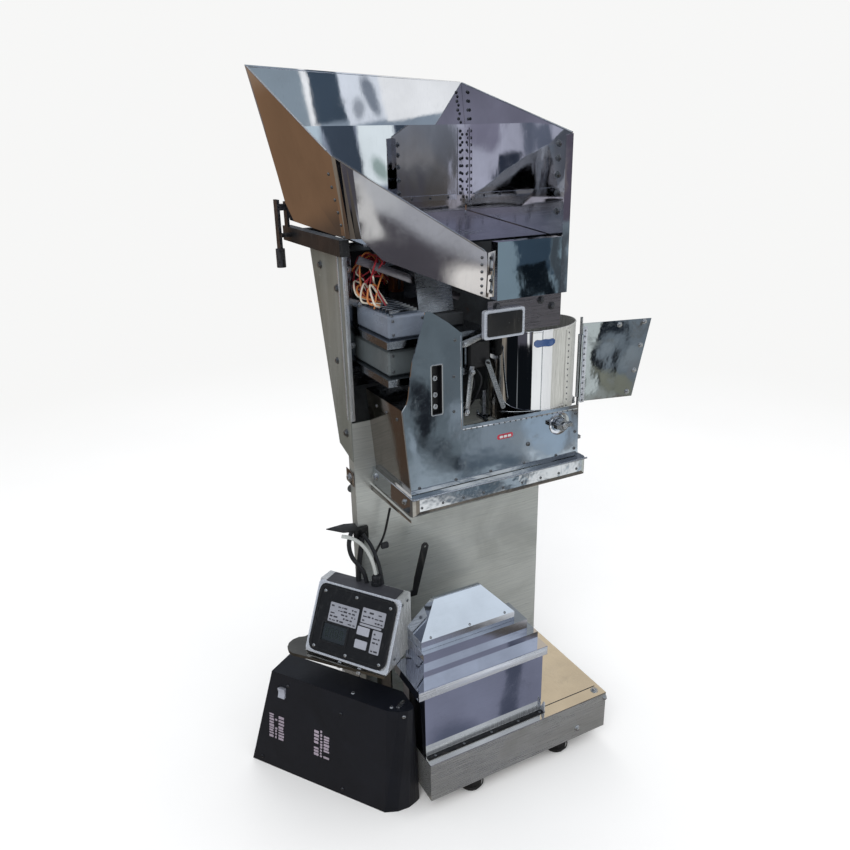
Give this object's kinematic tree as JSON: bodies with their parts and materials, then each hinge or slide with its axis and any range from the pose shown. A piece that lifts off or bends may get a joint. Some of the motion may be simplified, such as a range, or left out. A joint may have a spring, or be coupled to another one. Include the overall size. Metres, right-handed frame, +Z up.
{
  "type": "vibratory weigh filler",
  "caption": "Upright stainless weigh filler: open hopper, vibrating feed pan, weigh bucket with twin drop doors, side door, column, stepped plinth base and corner control box.",
  "frame": {"origin": "on the floor, under the middle of the whole machine's box, cabinet and open side door included", "axes": "+X to the machine's right seen from the front, +Y to the back, +Z up; the control box and its cabinet stand at the front left, turned towards the operator"},
  "size_m": [0.818, 0.47, 1.2832],
  "materials": {
    "polished_stainless": "mirror-polished stainless sheet",
    "brushed_stainless": "brushed stainless sheet",
    "bright_steel": "plain bright steel",
    "black_plastic": "moulded black, satin",
    "black_steel": "black paint",
    "cast_iron_grey": "as cast",
    "copper_winding": "enamelled winding wire",
    "foot_rubber": "moulded",
    "display_window": "dark green tinted window",
    "light_plastic": "moulded, satin",
    "blue_grey_paint": "paint",
    "green_grey_paint": "paint",
    "cable_sheath": "soft cable sheath",
    "wire_sheath": "soft wire sheath"
  },
  "bodies": {
    "machine": {"base_skirt": "brushed_stainless", "base_top_plate": "polished_stainless", "bottom_tray": "polished_stainless", "cabinet_back": "black_steel", "cabinet_shell": "black_plastic", "chute_cover": "polished_stainless", "column_plate": "brushed_stainless", "controller_case": "brushed_stainless", "controller_panel": "black_plastic", "controller_stand": "polished_stainless", "cross_beam": "bright_steel", "display_window": "display_window", "door_pin_left": "bright_steel", "door_pin_right": "bright_steel", "door_solenoid": "black_plastic", "drive_base": "cast_iron_grey", "driver_box": "blue_grey_paint", "foot_front_left": "foot_rubber", "foot_front_right": "foot_rubber", "foot_rear_left": "foot_rubber", "foot_rear_right": "foot_rubber", "front_plate": "polished_stainless", "grip_cup": "black_steel", "hanger_bar": "black_steel", "hopper_corner_angle": "polished_stainless", "hopper_frame": "black_steel", "hopper_left_panel": "polished_stainless", "hopper_rear_panel": "polished_stainless", "hopper_right_panel": "polished_stainless", "housing_left_side": "polished_stainless", "housing_right_side": "polished_stainless", "leaf_spring_front": "bright_steel", "leaf_spring_rear": "bright_steel", "left_lower_wall": "polished_stainless", "load_cell": "bright_steel", "magnet_coil": "copper_winding", "magnet_core": "cast_iron_grey", "plinth_box": "polished_stainless", "plinth_cap": "polished_stainless", "plinth_collar": "polished_stainless", "rear_cover": "bright_steel", "shelf_frame": "bright_steel", "side_door_pin": "bright_steel", "slot_bracket": "light_plastic", "supply_box": "green_grey_paint", "transformer": "cast_iron_grey", "under_plate": "brushed_stainless", "weigh_bucket": "polished_stainless", "controller_cable": "cable_sheath", "drive_wires": "wire_sheath"},
    "feeder_pan": {"feed_pan": "polished_stainless"},
    "left_bucket_door": {"bucket_door_left": "polished_stainless"},
    "right_bucket_door": {"bucket_door_right": "polished_stainless"},
    "door_arm": {"actuator_arm": "bright_steel"},
    "guard_door": {"side_door": "polished_stainless"},
    "knob": {"latch_knob": "polished_stainless"},
    "hopper_clamp": {"clamp_lever": "bright_steel"},
    "start_key": {"key_start": "light_plastic"},
    "set_key": {"key_set": "light_plastic"},
    "mains_rocker": {"power_rocker": "light_plastic"}
  },
  "joints": [
    {"name": "pan_vibration", "type": "slide", "parent": "machine", "child": "feeder_pan", "axis": [0, -0.9781, 0.2079], "range_m": [-0.0015, 0.0015]},
    {"name": "left_bucket_door_hinge", "type": "hinge", "parent": "machine", "child": "left_bucket_door", "pos_m": [0.0395, -0.0815, 0.6905], "axis": [0, 1, 0], "range_deg": [0, 50]},
    {"name": "right_bucket_door_hinge", "type": "hinge", "parent": "machine", "child": "right_bucket_door", "pos_m": [0.2325, -0.0815, 0.6905], "axis": [0, -1, 0], "range_deg": [0, 50]},
    {"name": "door_arm_pivot", "type": "hinge", "parent": "machine", "child": "door_arm", "pos_m": [0.014, -0.1395, 0.81], "axis": [0, 1, 0], "range_deg": [0, 15]},
    {"name": "guard_door_hinge", "type": "hinge", "parent": "machine", "child": "guard_door", "pos_m": [0.24, -0.1, 0.76], "axis": [0, 0, 1], "range_deg": [0, 90]},
    {"name": "latch_knob_turn", "type": "hinge", "parent": "machine", "child": "knob", "pos_m": [0.159, -0.151, 0.678], "axis": [0, 1, 0], "range_deg": [0, 90]},
    {"name": "hopper_clamp_lever", "type": "hinge", "parent": "machine", "child": "hopper_clamp", "pos_m": [-0.209, 0.213, 1.0505], "axis": [1, 0, 0], "range_deg": [0, 90]},
    {"name": "start_key_press", "type": "slide", "parent": "machine", "child": "start_key", "axis": [0.7206, 0.5045, -0.4756], "range_m": [0, 0.0012]},
    {"name": "set_key_press", "type": "slide", "parent": "machine", "child": "set_key", "axis": [0.7206, 0.5045, -0.4756], "range_m": [0, 0.0012]},
    {"name": "mains_rocker_tilt", "type": "hinge", "parent": "machine", "child": "mains_rocker", "pos_m": [-0.34594, 0.0187, 0.16618], "axis": [0.5736, -0.8192, 0], "range_deg": [0, 8]}
  ],
  "couplings": [
    {"joint": "right_bucket_door_hinge", "follows": "left_bucket_door_hinge", "ratio": 1},
    {"joint": "door_arm_pivot", "follows": "left_bucket_door_hinge", "ratio": 0.3}
  ]
}
